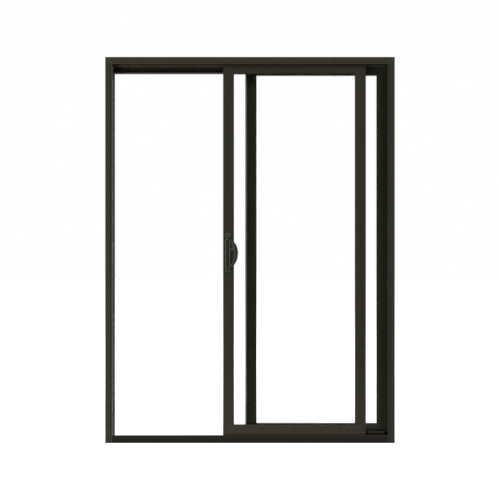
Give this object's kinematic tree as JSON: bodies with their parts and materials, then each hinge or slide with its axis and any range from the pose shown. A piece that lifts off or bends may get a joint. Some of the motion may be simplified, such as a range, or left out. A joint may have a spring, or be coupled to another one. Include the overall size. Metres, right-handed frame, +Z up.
{
  "type": "glass sliding patio door",
  "caption": "Sliding patio door in dark bronze: a framed opening with a fixed glazed panel behind a glazed panel that rolls along the sill, with a pull handle.",
  "frame": {"origin": "middle of the sill's underside, halfway through the frame's depth", "axes": "+Z up, +X along the track towards the fixed side, +Y from the room outwards"},
  "size_m": [1.514, 0.1558, 2.019],
  "materials": {
    "frame_vinyl": "satin dark bronze",
    "panel_vinyl": "satin dark bronze",
    "glass": "clear tempered",
    "spacer": "matte black",
    "pile": "grey woven pile",
    "interlock": "grey vinyl",
    "track_metal": "mill finish",
    "steel": "zinc plated",
    "wheel": "ground steel",
    "rubber": "black",
    "seal": "dark bronze",
    "stop_plastic": "black",
    "bronze_hardware": "oil rubbed bronze, gloss"
  },
  "bodies": {
    "door_frame": {"fixed_bottom_bead": "panel_vinyl", "fixed_bottom_rail": "panel_vinyl", "fixed_inner_pane": "glass", "fixed_interlock": "interlock", "fixed_jamb_stile": "panel_vinyl", "fixed_left_bead": "panel_vinyl", "fixed_meeting_stile": "panel_vinyl", "fixed_outer_pane": "glass", "fixed_right_bead": "panel_vinyl", "fixed_sill_adapter": "frame_vinyl", "fixed_spacer": "spacer", "fixed_top_bead": "panel_vinyl", "fixed_top_rail": "panel_vinyl", "head_filler": "frame_vinyl", "head_frame": "frame_vinyl", "head_weatherstrip": "seal", "jamb_weatherstrip": "pile", "left_jamb": "frame_vinyl", "right_jamb": "frame_vinyl", "roller_track": "track_metal", "sill_frame": "frame_vinyl", "stop_block": "stop_plastic", "stop_bumper": "rubber", "strike_keeper": "steel"},
    "sliding_panel": {"sliding_bottom_bead": "panel_vinyl", "sliding_bottom_rail": "panel_vinyl", "sliding_inner_pane": "glass", "sliding_interlock": "panel_vinyl", "sliding_left_bead": "panel_vinyl", "sliding_lock_stile": "panel_vinyl", "sliding_meeting_stile": "panel_vinyl", "sliding_outer_pane": "glass", "sliding_right_bead": "panel_vinyl", "sliding_spacer": "spacer", "sliding_top_bead": "panel_vinyl", "sliding_top_rail": "panel_vinyl", "roller_housings": "steel", "roller_wheels": "wheel", "lock_faceplate": "steel", "hook_bolt": "steel", "inner_handle": "bronze_hardware", "outer_handle": "bronze_hardware"},
    "latch_lever": {"thumb_latch": "bronze_hardware"}
  },
  "joints": [
    {"name": "panel_slide", "type": "slide", "parent": "door_frame", "child": "sliding_panel", "axis": [1, 0, 0], "range_m": [-0.585, 0]},
    {"name": "latch_turn", "type": "hinge", "parent": "sliding_panel", "child": "latch_lever", "pos_m": [-0.11705, -0.04525, 0.994], "axis": [0, 1, 0], "range_deg": [0, 86]}
  ]
}
